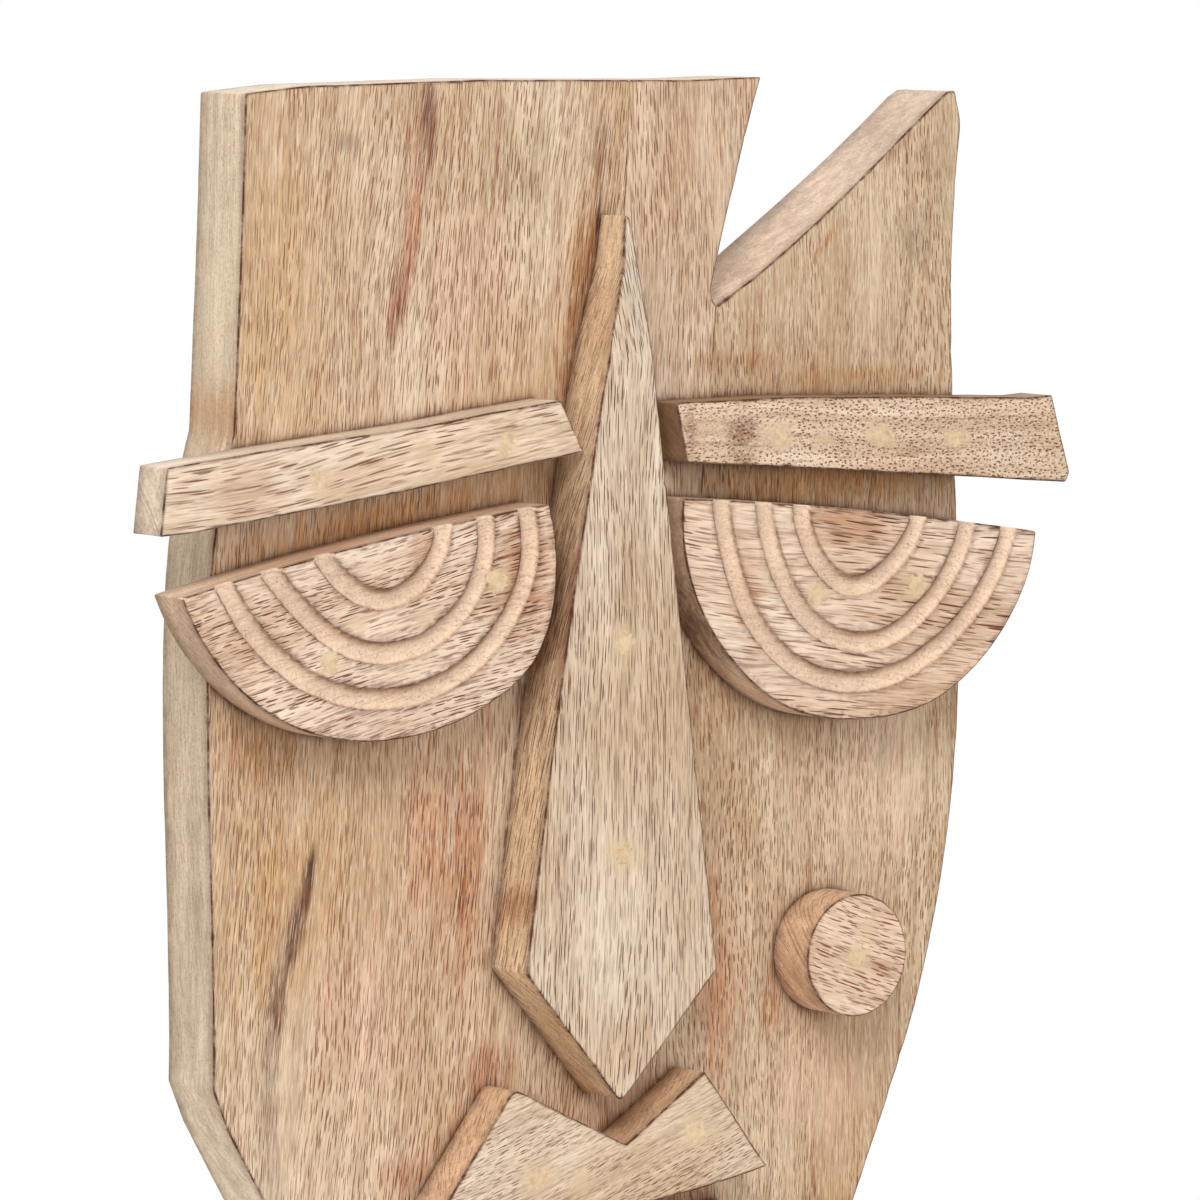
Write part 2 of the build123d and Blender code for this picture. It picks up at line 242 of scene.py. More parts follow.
def lands_and_grooves(node, depth, half_width, seed):
    """How deep the gouged arcs are at (x, z) points, from the flat bands that the CAD front leaves."""
    bands = [loop for loop in face_loops(node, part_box(node)[0].y / MM) if perimeter(loop) > 40]
    plugs = tree_of([loop.mean(0) for loop in face_loops("eye_fillers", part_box("eye_fillers")[0].y / MM)])
    rim = np.vstack([dense(band) for band in bands])
    rims = tree_of(rim[distance(plugs, rim) > PLUG_REACH])
    edge = dense(OUTLINES[node])
    edge_tree, edge_normals = tree_of(edge), inward(edge)

    def off_edge(points):
        found = [edge_tree.find((x, 0, z))[1:] for x, z in points]
        index, near = (np.array(item) for item in zip(*found))
        return points + edge_normals[index] * np.maximum(0, ARRIS_CLEAR - near)[:, None]

    def groove(points):
        """Depth below the front, closeness to a rim, and how far each point is on a wall that faces away from
        the key light, which the material darkens as painted shade.
        """
        points = off_edge(points)
        on_land = distance(plugs, points) < PLUG_REACH
        for band in bands:
            on_land |= inside(points, band)
        found = [rims.find((x, 0, z)) for x, z in points]
        away = np.array([item[2] for item in found])
        towards = np.array([(item[0].x, item[0].z) for item in found]) - points
        # facing is how far the nearest rim lies towards the key light; the wall below such a rim is the one
        # in shade
        facing = np.where(on_land, -1, 1) * (towards @ TOWARDS_KEY_LIGHT) / np.maximum(away, 1e-6)
        signed = np.where(on_land, -away, away)
        signed += 0.16 * fbm(points, 1.4, seed) + 0.30 * fbm(points, 8, seed + 1)
        bowl = 1 - (1 - np.clip(signed / half_width, 0, 1)) ** 3
        floor = depth * (0.95 + 0.16 * fbm(points, 12, seed + 2) + 0.08 * fbm(points, 3, seed + 4))
        clear = distance(edge_tree, points) > ARRIS_CLEAR + 0.2
        # The dark rim line is partly painted shade: it is stronger on the walls that face away from the key
        # light
        rim = np.exp(-((signed + 0.18) / 0.45) ** 2) * clear * (0.75 + 0.25 * facing)
        # near_wall with facing: painted shade on the walls that face away from the key light
        near_wall = np.exp(-(np.maximum(0, signed - 0.3) / 1.3) ** 2) * (signed > -0.1)
        return floor * bowl ** 0.7, rim, near_wall * np.clip(0.3 + facing, 0, 1) * clear

    return bands, groove


def groove_rows(bands, outer):
    """Points in rows beside the gouged arcs' rims, so that their walls are sharp."""
    rows = []
    edge = tree_of(dense(outer))
    for band in bands:
        rim = dense(band, 0.7)
        normals, kept = inward(rim), distance(edge, rim) > ARRIS_CLEAR + 0.3
        for offset in (0.55, 0.2, -0.1, -0.4, -0.8, -1.3, -1.9):
            rows.append((rim + normals * offset)[kept])
    return np.vstack(rows)


def ring_points(nodes, offsets, step):
    """Points in rings just outside these nodes' outlines."""
    rings = []
    for node in nodes:
        loop = dense(OUTLINES[node], step)
        rings += [loop - inward(loop) * offset for offset in offsets]
    return np.vstack(rings)


def grid_points(loop, pitch, rng):
    low, high = loop.min(0), loop.max(0)
    xs, zs = np.arange(low[0], high[0], pitch), np.arange(low[1], high[1], pitch)
    grid = np.stack(np.meshgrid(xs, zs), -1).reshape(-1, 2)
    return grid + rng.uniform(-0.25, 0.25, grid.shape) * pitch


def thinned(points, least):
    """The points, without those that fall in a cell where another already is."""
    cells = np.round(points / least).astype(int)
    return points[np.sort(np.unique(cells, axis=0, return_index=True)[1])]


def cap(loop, points):
    """Triangles over a loop and the points inside it. Returns all its vertices and the triangles."""
    count = len(loop)
    every = [Vector((float(x), float(z))) for x, z in np.vstack([loop, points])]
    edges = [(i, (i + 1) % count) for i in range(count)]
    found, _, faces, origin, _, _ = geometry.delaunay_2d_cdt(every, edges, [], 1, 1e-5)
    index = [min(o) if o else -1 for o in origin]
    extra = [v for v, i in zip(found, index) if i < 0]
    fresh = iter(range(len(every), len(every) + len(extra)))
    index = [i if i >= 0 else next(fresh) for i in index]
    return np.array([tuple(v) for v in every + extra]), [[index[v] for v in face] for face in faces]


def mesh_object(name, vertices, faces, attributes):
    mesh = bpy.data.meshes.new(name)
    mesh.from_pydata([tuple(v * MM) for v in vertices], [], faces)
    for key, values in attributes.items():
        layer = mesh.attributes.new(key, "FLOAT", "POINT")
        layer.data.foreach_set("value", np.asarray(values, np.float32))
    mesh.validate()
    mesh.shade_smooth()
    obj = bpy.data.objects.new(name, mesh)
    bpy.context.scene.collection.objects.link(obj)
    return obj


def carve(node, seed, arris, step=1.2, pitch=3.0, waviness=0.12, gouge=None, slope=None, stuck_on=(),
          joints=()):
    """A wooden piece with its CAD node's outline and thickness, worn as a hand-made one is.

    Lengths are in millimetres. gouge is the arcs' depth and half width, slope is how far the front lies
    back, stuck_on names the pieces that stand on the front, and joints names the boards glued to its edges.
    """
    rng = np.random.default_rng(seed)
    low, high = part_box(node)
    front, back = low.y / MM, high.y / MM
    loop = resample(OUTLINES[node], step, corner_cut=0.9)
    normals = inward(loop)
    glued = np.zeros(len(loop), bool)
    for other in joints:
        glued |= distance(tree_of(dense(OUTLINES[other])), loop) < 0.2
    lean = leans(node, loop) if node in BOARDS else np.zeros(loop.shape)
    loop = loop + normals * np.where(glued, 0, 0.10 + 0.10 * fbm(loop, 16, seed))[:, None]
    edge_tree = tree_of(dense(loop))
    wear = arris * (1 + 0.30 * fbm(loop, 9, seed + 1) + 0.25 * fbm(loop, 2.2, seed + 2))
    for _ in range(int(perimeter(loop) / 55)):
        chip, size = loop[rng.integers(len(loop))], rng.uniform(0.8, 2.2)
        wear += 0.7 * arris * np.exp(-(np.linalg.norm(loop - chip, axis=1) / size) ** 2)
    wear = safe_insets(loop, normals, np.where(glued, 0.12, wear), edge_tree)
    foot = safe_insets(loop, normals, np.full(len(loop), 0.12 if node in APPLIED else 0.7), edge_tree)
    foot = np.where(glued, 0.1, foot)

    bands, groove = lands_and_grooves(node, gouge[0], gouge[1], seed) if gouge else ([], None)

    def surface(points):
        """How far the front lies behind the CAD front at (x, z) points."""
        depth = SPOT_ROOM + waviness * (0.5 + 0.5 * fbm(points, 22, seed + 3))
        if slope:
            depth = depth + slope(points)
        return depth

    SURFACES[node] = lambda points: front + surface(points) + (groove(points)[0] if groove else 0)
    rim_depth = groove(loop)[0] if groove else np.zeros(len(loop))
    top = surface(loop)

    vertices, attributes = [], {key: [] for key in MARKS}

    def add(points, ys, edge=0.0, foot_dirt_and_shade=0.0, side=0.0, groove_mark=0.0, rim=0.0, contact_dirt_and_shade=0.0,
            shaded=0.0):
        count = len(points)
        ys = np.broadcast_to(ys, count)
        if count == len(lean):
            points = points + lean * ((ys - front) / (back - front))[:, None]
        vertices.append(np.stack([points[:, 0], ys, points[:, 1]], 1))
        marks = (edge, foot_dirt_and_shade, side, groove_mark, rim, contact_dirt_and_shade, shaded)
        for key, value in zip(attributes, marks):
            attributes[key].append(np.broadcast_to(value, count))

    # Rows round the piece, from the back's edge to the front's
    for angle in (0, 45, 90):
        out = foot * (1 - math.sin(math.radians(angle)))
        in_depth = foot * (1 - math.cos(math.radians(angle)))
        # The foot mark is a dark line where the piece meets what it stands on: partly dirt, partly painted
        # contact shade
        foot_dirt_and_shade, side = (0.0, BACK_SIDE_MARK) if angle == 0 else (1.0, 1.0)
        add(loop + normals * out[:, None], back - in_depth, foot_dirt_and_shade=foot_dirt_and_shade, side=side)
    side_rows = max(3, int((back - front) / 3))
    for i in range(1, side_rows):
        share = i / side_rows
        base = back - foot
        rise = base + (front + top + wear - base) * share
        level = np.maximum(rise, front + rim_depth)
        rasp = 0.10 * (0.5 + 0.5 * fbm(loop + 31 * i, 7, seed + 5)) * ~glued
        foot_dirt_and_shade = 0.35 if i == 1 else 0.0
        cut_off = (rise < front + rim_depth) * 1.0
        add(
            loop + normals * rasp[:, None], level, foot_dirt_and_shade=foot_dirt_and_shade, side=1 - cut_off, groove_mark=cut_off,
        )
    for angle, mark in ((0, 0.4), (30, 1.0), (60, 1.0), (90, 0.2)):
        out = wear * (1 - math.cos(math.radians(angle)))
        level = top + wear * (1 - math.sin(math.radians(angle)))
        cut_off = (level < rim_depth) * 1.0
        side = (1 - cut_off) * (1 - angle / 90)
        add(
            loop + normals * out[:, None], front + np.maximum(level, rim_depth), edge=mark * (1 - cut_off),
            side=side, groove_mark=cut_off,
        )
    row_count, around = len(vertices), len(loop)
    faces = []
    for row in range(row_count - 1):
        this, following = row * around, (row + 1) * around
        for i in range(around):
            beside = (i + 1) % around
            faces.append((this + i, this + beside, following + beside, following + i))

    # The front
    inner = loop + normals * wear[:, None]
    inner_tree = tree_of(dense(inner))
    fixed = [inner + inward(inner) * 0.45]
    if groove:
        fixed.append(groove_rows(bands, loop))
    if stuck_on:
        fixed.append(ring_points(stuck_on, (-0.3, 0.0, 0.4, 0.9, 1.8, 3.4), step))
    fixed = thinned(np.vstack(fixed), 0.22)
    grid = grid_points(inner, pitch, rng)
    grid = grid[distance(tree_of(fixed), grid) > 0.5 * pitch]
    points = np.vstack([fixed, grid])
    points = points[inside(points, inner)]
    points = points[distance(inner_tree, points) > 0.28]
    points, triangles = cap(inner, points)
    fresh = points[around:]
    gouged, rim_mark, shaded = groove(fresh) if groove else np.zeros((3, len(fresh)))
    # Partly dirt and partly painted contact shade: the boards darken within a millimetre or two round each
    # piece that stands on them
    contact_dirt_and_shade = np.zeros(len(fresh))
    if stuck_on:
        contact_tree = tree_of(np.vstack([dense(OUTLINES[other]) for other in stuck_on]))
        contact_dirt_and_shade = np.exp(-distance(contact_tree, fresh) / 1.3)
    share = np.clip(1.6 * gouged / gouge[0], 0, 1) if gouge else 0.0
    add(
        fresh, front + surface(fresh) + gouged, groove_mark=share, rim=rim_mark, contact_dirt_and_shade=contact_dirt_and_shade,
        shaded=shaded,
    )
    last_row = (row_count - 1) * around
    faces += [[last_row + v for v in face] for face in triangles]

    # The back
    base = sum(len(v) for v in vertices)
    first = loop + normals * foot[:, None] + lean
    points, triangles = cap(first, np.empty((0, 2)))
    if len(points) > around:
        add(points[around:], back, side=BACK_SIDE_MARK)
    faces += [[v if v < around else base + v - around for v in reversed(face)] for face in triangles]

    attributes = {key: np.concatenate(values) for key, values in attributes.items()}
    obj = mesh_object("carved_" + node, np.vstack(vertices), faces, attributes)
    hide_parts(node)
    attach(obj, MASK_BODY)
    return obj


def taper(node, x, heights):
    """How far a node's sloping front lies behind its foremost point, from the CAD depth at two heights."""
    mesh = NODES[node].data
    corners = [v.co.copy() for v in mesh.vertices]
    tree = BVHTree.FromPolygons(corners, [list(p.vertices) for p in mesh.polygons])
    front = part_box(node)[0].y
    hits = [tree.ray_cast(Vector((x * MM, front - 0.01, z * MM)), Vector((0, 1, 0)))[0] for z in heights]
    depths = [(hit.y - front) / MM for hit in hits]
    rise = (depths[1] - depths[0]) / (heights[1] - heights[0])
    return lambda points: np.maximum(0, depths[0] + rise * (points[:, 1] - heights[0]))


def filler_plugs(node, owners, seed):
    """Irregular smears of putty over a node's plugs, level with the wood round them."""
    rng = np.random.default_rng(seed)
    spokes, rings = 44, (0.0, 0.2, 0.38, 0.52, 0.64, 0.74, 0.83, 0.91, 1.0, 0.9)
    vertices, faces = [], []
    for loop in face_loops(node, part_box(node)[0].y / MM):
        centre, radius = loop.mean(0), perimeter(loop) / (2 * math.pi)
        owner = min(owners, key=lambda o: distance(tree_of(OUTLINES[o]), centre[None])[0])
        phase, base = rng.uniform(0, 9), len(vertices)
        angles = 2 * math.pi * np.arange(spokes) / spokes
        way = np.stack([np.cos(angles), np.sin(angles)], 1)
        ragged = 1.05 + 0.3 * fbm(way * 1.3 + phase, 1.0, seed)
        for number, ring in enumerate(rings):
            points = centre + way * (radius * ring * ragged)[:, None]
            points = points[:1] if ring == 0 else points
            lift = 0.055 * (1 - ring ** 2) + 0.05 * fbm(points, 1.1, seed + 3) - 0.02
            deeper = 0.8 if number == len(rings) - 1 else 0
            ys = SURFACES[owner](points) - np.minimum(lift, SPOT_ROOM) + deeper
            vertices += list(zip(points[:, 0], ys, points[:, 1]))
        faces += [(base, base + 1 + k, base + 1 + (k + 1) % spokes) for k in range(spokes)]
        for r in range(len(rings) - 2):
            a = base + 1 + r * spokes
            b = a + spokes
            faces += [(a + k, b + k, b + (k + 1) % spokes, a + (k + 1) % spokes) for k in range(spokes)]
        last_ring = base + 1 + (len(rings) - 2) * spokes
        faces.append([last_ring + k for k in reversed(range(spokes))])
    obj = mesh_object("putty_" + node, np.array(vertices), faces, {})
    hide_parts(node)
    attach(obj, MASK_BODY)
    return obj


# ---------------------------------------------------------------- materials

def tone(red, green, blue):
    """A colour given as display values from 0 to 255, as linear light."""
    def linear(value):
        value /= 255
        return value / 12.92 if value <= 0.04045 else ((value + 0.055) / 1.055) ** 2.4

    return (linear(red), linear(green), linear(blue), 1.0)


class Graph:
    """A material's node tree, with short calls for the nodes used here."""

    def __init__(self, name):
        self.material = bpy.data.materials.new(name)
        self.material.use_nodes = True
        self.tree = self.material.node_tree
        self.tree.nodes.clear()
        self.output = self.tree.nodes.new("ShaderNodeOutputMaterial")
        self.shader = self.tree.nodes.new("ShaderNodeBsdfPrincipled")
        self.link(self.shader.outputs[0], self.output.inputs["Surface"])
        self.coordinates = self.tree.nodes.new("ShaderNodeTexCoord").outputs["Object"]

    def link(self, source, target):
        self.tree.links.new(source, target)

    def put(self, socket, value):
        if isinstance(value, bpy.types.NodeSocket):
            self.link(value, socket)
        elif value is not None:
            socket.default_value = value

    def math(self, operation, a, b=None, clamp=False):
        node = self.tree.nodes.new("ShaderNodeMath")
        node.operation, node.use_clamp = operation, clamp
        for socket, value in zip(node.inputs, (a, b)):
            self.put(socket, value)
        return node.outputs[0]

    def vector_math(self, operation, a, b=None):
        node = self.tree.nodes.new("ShaderNodeVectorMath")
        node.operation = operation
        self.put(node.inputs[0], a)
        self.put(node.inputs[1], b)
        return node.outputs["Value" if operation in ("LENGTH", "DOT_PRODUCT") else "Vector"]

    def mapping(self, vector, location=(0, 0, 0), rotation=(0, 0, 0), scale=(1, 1, 1), kind="POINT"):
        node = self.tree.nodes.new("ShaderNodeMapping")
        node.vector_type = kind
        self.put(node.inputs["Vector"], vector)
        node.inputs["Location"].default_value = location
        node.inputs["Rotation"].default_value = rotation
        node.inputs["Scale"].default_value = scale
        return node.outputs[0]

    def noise(self, vector, scale=1.0, detail=2.0, roughness=0.5):
        node = self.tree.nodes.new("ShaderNodeTexNoise")
        self.put(node.inputs["Vector"], vector)
        node.inputs["Scale"].default_value = scale
        node.inputs["Detail"].default_value = detail
        node.inputs["Roughness"].default_value = roughness
        return node

    def cells(self, vector):
        """The nearest scattered point on a flat sheet, and a random colour that belongs to it."""
        node = self.tree.nodes.new("ShaderNodeTexVoronoi")
        node.voronoi_dimensions = "2D"
        self.put(node.inputs["Vector"], vector)
        node.inputs["Scale"].default_value = 1.0
        return node.outputs["Position"], node.outputs["Color"]

    def channel(self, colour, name):
        node = self.tree.nodes.new("ShaderNodeSeparateColor")
        self.put(node.inputs[0], colour)
        return node.outputs[name]

    def red(self, colour):
        return self.channel(colour, "Red")

    def green(self, colour):
        return self.channel(colour, "Green")

    def combined(self, x, y, z=0.0):
        node = self.tree.nodes.new("ShaderNodeCombineXYZ")
        for socket, value in zip(node.inputs, (x, y, z)):
            self.put(socket, value)
        return node.outputs[0]

    def span(self, value, low, high, to_low=0.0, to_high=1.0, smooth=True):
        node = self.tree.nodes.new("ShaderNodeMapRange")
        node.interpolation_type = "SMOOTHSTEP" if smooth else "LINEAR"
        ends = {"From Min": low, "From Max": high, "To Min": to_low, "To Max": to_high}
        for key, item in {"Value": value, **ends}.items():
            self.put(node.inputs[key], item)
        return node.outputs[0]

    def mix(self, factor, a, b, blend="MIX"):
        node = self.tree.nodes.new("ShaderNodeMix")
        node.data_type, node.blend_type = "RGBA", blend
        self.put(node.inputs[0], factor)
        self.put(node.inputs[6], a)
        self.put(node.inputs[7], b)
        return node.outputs[2]

    def ramp(self, value, *stops):
        node = self.tree.nodes.new("ShaderNodeValToRGB")
        elements = node.color_ramp.elements
        while len(elements) < len(stops):
            elements.new(0.5)
        for element, (place, colour) in zip(elements, stops):
            element.position, element.color = place, colour
        self.put(node.inputs[0], value)
        return node.outputs[0]

    def attribute(self, name):
        node = self.tree.nodes.new("ShaderNodeAttribute")
        node.attribute_name = name
        return node.outputs["Fac"]

    def bump(self, height, distance, strength=1.0):
        node = self.tree.nodes.new("ShaderNodeBump")
        node.inputs["Strength"].default_value = strength
        node.inputs["Distance"].default_value = distance
        self.put(node.inputs["Height"], height)
        return node.outputs[0]


BURN = (78, 38, 14)
UMBER = (86, 40, 14)
BROWN = (120, 54, 16)
RUST = (140, 70, 20)
PUTTY = (216, 190, 152)
# The brown of the painted shade on groove walls that face away from the key light
GROOVE_WALL_SHADE = (146, 92, 54)
GROOVE = (232, 203, 176)
LIMED = (242, 226, 208)
STAIN_TONE = 430
SHEET_AXES = ((1, 0.9, 0), (0, 0.12, 1))
DASH = ((0.95, 9.0), (0.17, 4.4))


def patch(g, centre, size, lean, inner=0.1):
    """A soft, ragged oval on the front: its centre and its half sizes across and along, in millimetres."""
    local = g.mapping(
        g.coordinates, (centre[0] * MM, 0, centre[1] * MM), (0, math.radians(lean), 0),
        (size[0] * MM, 1.0, size[1] * MM), "TEXTURE",
    )
    flat = g.vector_math("MULTIPLY", local, (1.0, 0.0, 1.0))
    away = g.math("ADD", g.vector_math("LENGTH", flat), g.ripple)
    return g.span(away, inner, 1.0, 1.0, 0.0)


def wood(name, lean, tones, seed, pores=0.85, pore_tone=RUST, dash=DASH, side=(226, 200, 172),
         side_amount=0.8, side_pores=0.2, marks=(), side_marks=(), putty=(), fine=1.0,
         crowding=(0.34, 0.58)):
    """Sanded, open-pored hardwood. Its grain leans this many degrees from upright towards +X."""
    g = Graph(name)
    pale, middle, warm = (tone(*t) for t in tones)
    along = g.mapping(g.coordinates, (seed * 0.371, seed * 0.117, seed * 0.239), (0, -math.radians(lean), 0))
    wander = g.noise(g.mapping(along, scale=(14, 14, 4.0)), detail=2.0).outputs["Color"]
    wander = g.vector_math("SUBTRACT", wander, (0.5, 0.5, 0.5))
    along = g.vector_math("ADD", along, g.vector_math("MULTIPLY", wander, (0.024, 0.024, 0.0)))
    sheet = g.combined(*(g.vector_math("DOT_PRODUCT", along, axis) for axis in SHEET_AXES))

    def grain(across, lengthwise, detail=2.0, roughness=0.5):
        scaled = g.mapping(along, scale=(across, across, lengthwise))
        return g.noise(scaled, detail=detail, roughness=roughness).outputs["Fac"]

    def dashes(spacing, half, shift):
        """Short pores: their spacing and their half sizes, each across and along, in millimetres."""
        per_metre = (1 / (spacing[0] * MM), 1 / (spacing[1] * MM), 1)
        scaled = g.mapping(sheet, (shift, shift * 1.7, 0), scale=per_metre)
        place, chance = g.cells(scaled)
        length = g.span(g.red(chance), 0.0, 1.0, 2.2, 0.75, smooth=False)
        away = g.vector_math("MULTIPLY", g.vector_math("SUBTRACT", scaled, place), (
            spacing[0] / half[0], spacing[1] / half[1], 0,
        ))
        away = g.vector_math("MULTIPLY", away, g.combined(1.0, length))
        dot = g.span(g.vector_math("LENGTH", away), 0.7, 1.08, 1.0, 0.0)
        return g.math("MULTIPLY", dot, g.span(g.green(chance), 0.05, 0.5, 0.35, 1.0))

    broad, streak, fibre = grain(21, 8, 3.0, 0.6), grain(260, 8, 4.0, 0.65), grain(1700, 110, 2.0, 0.6)
    ragged = g.math("SUBTRACT", grain(240, 50, 4.0, 0.65), 0.5)
    streaky = g.math("SUBTRACT", grain(420, 9, 3.0, 0.6), 0.5)
    g.ripple = g.math("ADD", g.math("MULTIPLY", ragged, 1.2), g.math("MULTIPLY", streaky, 1.3))

    tint = g.math("ADD", g.math("MULTIPLY", broad, 0.72), g.math("MULTIPLY", streak, 0.28))
    colour = g.ramp(tint, (0.40, pale), (0.50, middle), (0.61, warm))
    shade = g.span(fibre, 0.3, 0.7, 1 + 0.10 * fine, 1 - 0.15 * fine)
    grained = g.math("MULTIPLY", g.span(streak, 0.35, 0.68, 1.05, 0.90), shade)
    colour = g.mix(1.0, colour, grained, "MULTIPLY")

    side_mark, groove_mark = g.attribute("side"), g.attribute("groove")
    on_side = g.math("MULTIPLY", side_mark, side_amount)
    in_groove = g.math("MULTIPLY", g.math("MULTIPLY", groove_mark, 2.5, clamp=True), 0.85)
    speckle = g.span(g.noise(g.coordinates, 900.0, 3.0, 0.7).outputs["Fac"], 0.32, 0.68, 1.10, 0.86)
    cloud = g.span(grain(70, 30, 3.0, 0.65), 0.35, 0.65, 1.08, 0.90)
    mottle = g.math("MULTIPLY", speckle, cloud)
    sawn_streak, sawn_cloud = g.span(streak, 0.32, 0.68, 1.12, 0.84), g.span(broad, 0.4, 0.6, 1.06, 0.92)
    rough_sawn = g.math("MULTIPLY", sawn_streak, sawn_cloud)
    side_colour = g.mix(1.0, tone(*side), g.math("MULTIPLY", mottle, rough_sawn), "MULTIPLY")
    for centre, size, mark_lean, mark_tone, amount in side_marks:
        spot = g.math("MULTIPLY", patch(g, centre, size, mark_lean), amount)
        side_colour = g.mix(spot, side_colour, g.mix(1.0, tone(*mark_tone), mottle, "MULTIPLY"))
    groove_colour = g.ramp(
        groove_mark, (0.1, tone(206, 168, 134)), (0.45, tone(222, 192, 164)), (0.85, tone(*GROOVE)),
    )
    # Painted shade: groove walls that face away from the key light are darkened to the brown wall tone,
    # broken up by the grain
    painted_wall_shade = g.span(grain(110, 60, 3.0, 0.65), 0.36, 0.60, 0.45, 1.0)
    painted_wall_shade = g.math("MULTIPLY", g.attribute("shaded"), painted_wall_shade)
    groove_colour = g.mix(g.math("MULTIPLY", painted_wall_shade, 0.9), groove_colour, tone(*GROOVE_WALL_SHADE))
    groove_colour = g.mix(1.0, groove_colour, mottle, "MULTIPLY")
    pits = g.span(g.noise(g.coordinates, 1300.0, 2.0, 0.5).outputs["Fac"], 0.60, 0.70)

    fibres = g.math("MULTIPLY", shade, g.span(streaky, -0.16, 0.16, 1.10, 0.88))
    in_front = g.span(side_mark, 0.05, 0.22, 1.0, 0.0)
    stained = 0.0
    # Most marks are stains; the bands between the brows and eyes and beside the nose are also painted shade
    for centre, size, mark_lean, mark_tone, amount in marks:
        strength = g.math("MULTIPLY", in_front, amount)
        spot = g.math("MULTIPLY", patch(g, centre, size, mark_lean), strength)
        colour = g.mix(spot, colour, g.mix(1.0, tone(*mark_tone), fibres, "MULTIPLY"))
        if sum(mark_tone) < STAIN_TONE:
            stained = g.math("MAXIMUM", stained, spot)
    colour = g.mix(on_side, colour, side_colour)
    colour = g.mix(in_groove, colour, groove_colour)

    covered = g.math(
        "MAXIMUM", g.math("MULTIPLY", on_side, 1 - side_pores), g.math("MULTIPLY", in_groove, 0.9))
    for centre, size in putty:
        spot = patch(g, centre, size, 20, 0.25)
        colour = g.mix(g.math("MULTIPLY", spot, 0.55), colour, g.mix(1.0, tone(*PUTTY), cloud, "MULTIPLY"))
        covered = g.math("MAXIMUM", covered, g.math("MULTIPLY", spot, 0.8))

    crowd = g.math(
        "MAXIMUM", g.span(grain(60, 14, 3.0, 0.6), *crowding, 0.35, 1.0),
        g.math("MULTIPLY", stained, 1.6, clamp=True),
    )
    bare = g.math("SUBTRACT", 1.0, covered)
    spacing, half = dash
    long_pores = dashes(spacing, half, 0.0)
    short_pores = dashes((spacing[0] * 1.35, spacing[1] * 0.7), (half[0] * 0.85, half[1] * 0.6), 3.1)
    dark = g.math("MAXIMUM", long_pores, g.math("MULTIPLY", short_pores, 0.8))
    dark = g.math("MULTIPLY", g.math("MULTIPLY", dark, crowd), bare)
    hair = g.math("MULTIPLY", g.span(grain(1100, 45, 2.0, 0.5), 0.57, 0.68), bare)
    limed = g.math("MULTIPLY", dashes((spacing[0] * 1.2, spacing[1]), (half[0] * 1.3, half[1]), 7.7), bare)
    specks = g.math("MULTIPLY", pits, g.math("MAXIMUM", on_side, in_groove))
    colour = g.mix(g.math("MULTIPLY", limed, 0.35), colour, tone(*LIMED))
    colour = g.mix(g.math("MULTIPLY", specks, 0.45), colour, tone(*pore_tone))
    haired = g.math("MULTIPLY", hair, g.math("ADD", 0.42 * fine, g.math("MULTIPLY", stained, 0.3)))
    colour = g.mix(haired, colour, tone(*pore_tone))
    darker, darkest = (tone(*(share * c for c in pore_tone)) for share in (0.86, 0.6))
    pore = g.mix(g.math("MULTIPLY", stained, 0.8), darker, darkest)
    colour = g.mix(g.math("MULTIPLY", dark, pores), colour, pore)

    broken = g.span(g.noise(g.coordinates, 160.0, 4.0, 0.7).outputs["Fac"], 0.38, 0.60, 0.6, 1.0)
    # Dark lines: edge along the worn arrises; rim along the groove rims, stronger on walls in shade; contact
    # on the boards round each applied piece and foot where each piece meets what it stands on, both partly
    # dirt and partly painted contact shade
    lines = (("edge", 1.0, BURN), ("rim", 1.0, UMBER), ("contact_dirt_and_shade", 0.85, UMBER), ("foot", 0.5, BURN))
    for key, amount, line_tone in lines:
        mark = g.math("MULTIPLY", g.math("MULTIPLY", g.attribute(key), amount), broken)
        colour = g.mix(mark, colour, tone(*line_tone))

    g.link(colour, g.shader.inputs["Base Color"])
    g.shader.inputs["Specular IOR Level"].default_value = 0.3
    g.put(g.shader.inputs["Roughness"], g.span(fibre, 0.3, 0.7, 0.58, 0.72))
    height = g.math("SUBTRACT", g.math("MULTIPLY", fibre, 0.4), dark)
    g.put(g.shader.inputs["Normal"], g.bump(height, 0.00014, 0.7))
    return g.material


def putty_material():
    """Pale olive filler, sanded level, blotched where it was mixed with dust."""
    g = Graph("Putty")
    blotch = g.noise(g.coordinates, 420.0, 4.0, 0.65).outputs["Fac"]
    colour = g.ramp(
        blotch, (0.36, tone(226, 202, 168)), (0.52, tone(216, 188, 150)), (0.68, tone(198, 166, 128)),
    )
    g.link(colour, g.shader.inputs["Base Color"])
    g.shader.inputs["Roughness"].default_value = 0.75
    g.put(g.shader.inputs["Normal"], g.bump(g.noise(g.coordinates, 1900.0, 2.0).outputs["Fac"], 0.0001))
    return g.material


def steel(name, colour, dull, brushed):
    """Plated steel with faint draw marks and a slightly uneven shine."""
    g = Graph(name)
    cloud = g.noise(g.coordinates, 420.0, 3.0, 0.6).outputs["Fac"]
    marks = g.noise(g.mapping(g.coordinates, scale=brushed), detail=2.0).outputs["Fac"]
    g.link(g.ramp(cloud, (0.35, tone(*colour)), (0.7, tone(*dull))), g.shader.inputs["Base Color"])
    g.shader.inputs["Metallic"].default_value = 1.0
    shine = g.math("ADD", g.span(cloud, 0.3, 0.7, 0.24, 0.38), g.math("MULTIPLY", marks, 0.12))
    g.put(g.shader.inputs["Roughness"], shine)
    g.put(g.shader.inputs["Normal"], g.bump(marks, 0.00003))
    return g.material


